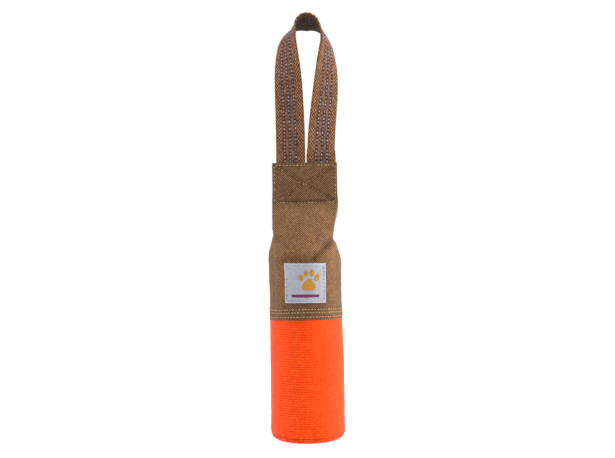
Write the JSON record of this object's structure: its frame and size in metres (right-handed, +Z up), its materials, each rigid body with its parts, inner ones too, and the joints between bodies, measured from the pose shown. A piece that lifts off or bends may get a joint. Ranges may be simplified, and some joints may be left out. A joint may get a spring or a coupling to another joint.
{
  "type": "dog training bumper",
  "caption": "Floating dog-training bumper: foam-cored orange fabric barrel, brown fabric yoke narrowing to a stitched flat tab, and a webbing loop handle.",
  "frame": {"origin": "centre of the bottom disc, which is the face the bumper stands on", "axes": "+Z up along the barrel to the handle, -Y towards the labelled front, +X to the viewer's right of the label"},
  "size_m": [0.0644, 0.0653, 0.3658],
  "materials": {
    "foam": "matte closed-cell foam",
    "orange_cloth": "coated fluorescent-orange woven nylon",
    "orange_cloth_bottom": "coated fluorescent-orange woven nylon",
    "binding_tape": "matte woven tape",
    "brown_cloth": "heavy brown woven nylon, slight sheen",
    "brown_cloth_tab": "heavy brown woven nylon pressed flat",
    "tan_thread": "tan sewing thread",
    "brown_thread": "dark brown sewing thread",
    "webbing": "brown woven webbing with pale tracer threads",
    "label_cloth": "grey satin-woven label",
    "label_thread": "pale grey sewing thread",
    "label_ochre": "ochre woven figure",
    "label_plum": "plum woven bar"
  },
  "bodies": {
    "barrel": {"foam_core": "foam", "orange_side_panel": "orange_cloth", "orange_bottom_disc": "orange_cloth_bottom", "bottom_seam_binding": "binding_tape", "orange_seam_binding": "binding_tape", "yoke_sleeve": "brown_cloth", "yoke_seam_binding": "binding_tape", "yoke_back_lap": "brown_cloth", "yoke_back_lap_threads": "tan_thread", "yoke_neck": "brown_cloth", "hem_thread_lower": "tan_thread", "hem_thread_middle": "tan_thread", "hem_thread_upper": "tan_thread", "label_patch": "label_cloth", "label_paw_motif": "label_ochre", "label_stripe": "label_plum", "label_thread": "label_thread"},
    "tab": {"tab_front_panel": "brown_cloth_tab", "tab_back_panel": "brown_cloth_tab", "tab_left_tuck": "brown_cloth_tab", "tab_right_tuck": "brown_cloth_tab", "box_needle_thread": "brown_thread", "box_bobbin_thread": "brown_thread", "webbing_left_end": "webbing", "webbing_right_end": "webbing", "webbing_left_bend": "webbing", "webbing_right_bend": "webbing"},
    "handle": {"webbing_loop": "webbing"}
  },
  "joints": [
    {"name": "neck_fold", "type": "hinge", "parent": "barrel", "child": "tab", "pos_m": [0, 0, 0.18], "axis": [1, 0, 0], "range_deg": [-60, 60], "stiffness_Nm_per_rad": 0.5, "deforming": ["yoke_neck"]},
    {"name": "handle_swing", "type": "hinge", "parent": "tab", "child": "handle", "pos_m": [0, 0, 0.242], "axis": [1, 0, 0], "range_deg": [-120, 120], "stiffness_Nm_per_rad": 0.08, "deforming": ["webbing_left_bend", "webbing_right_bend"]}
  ]
}
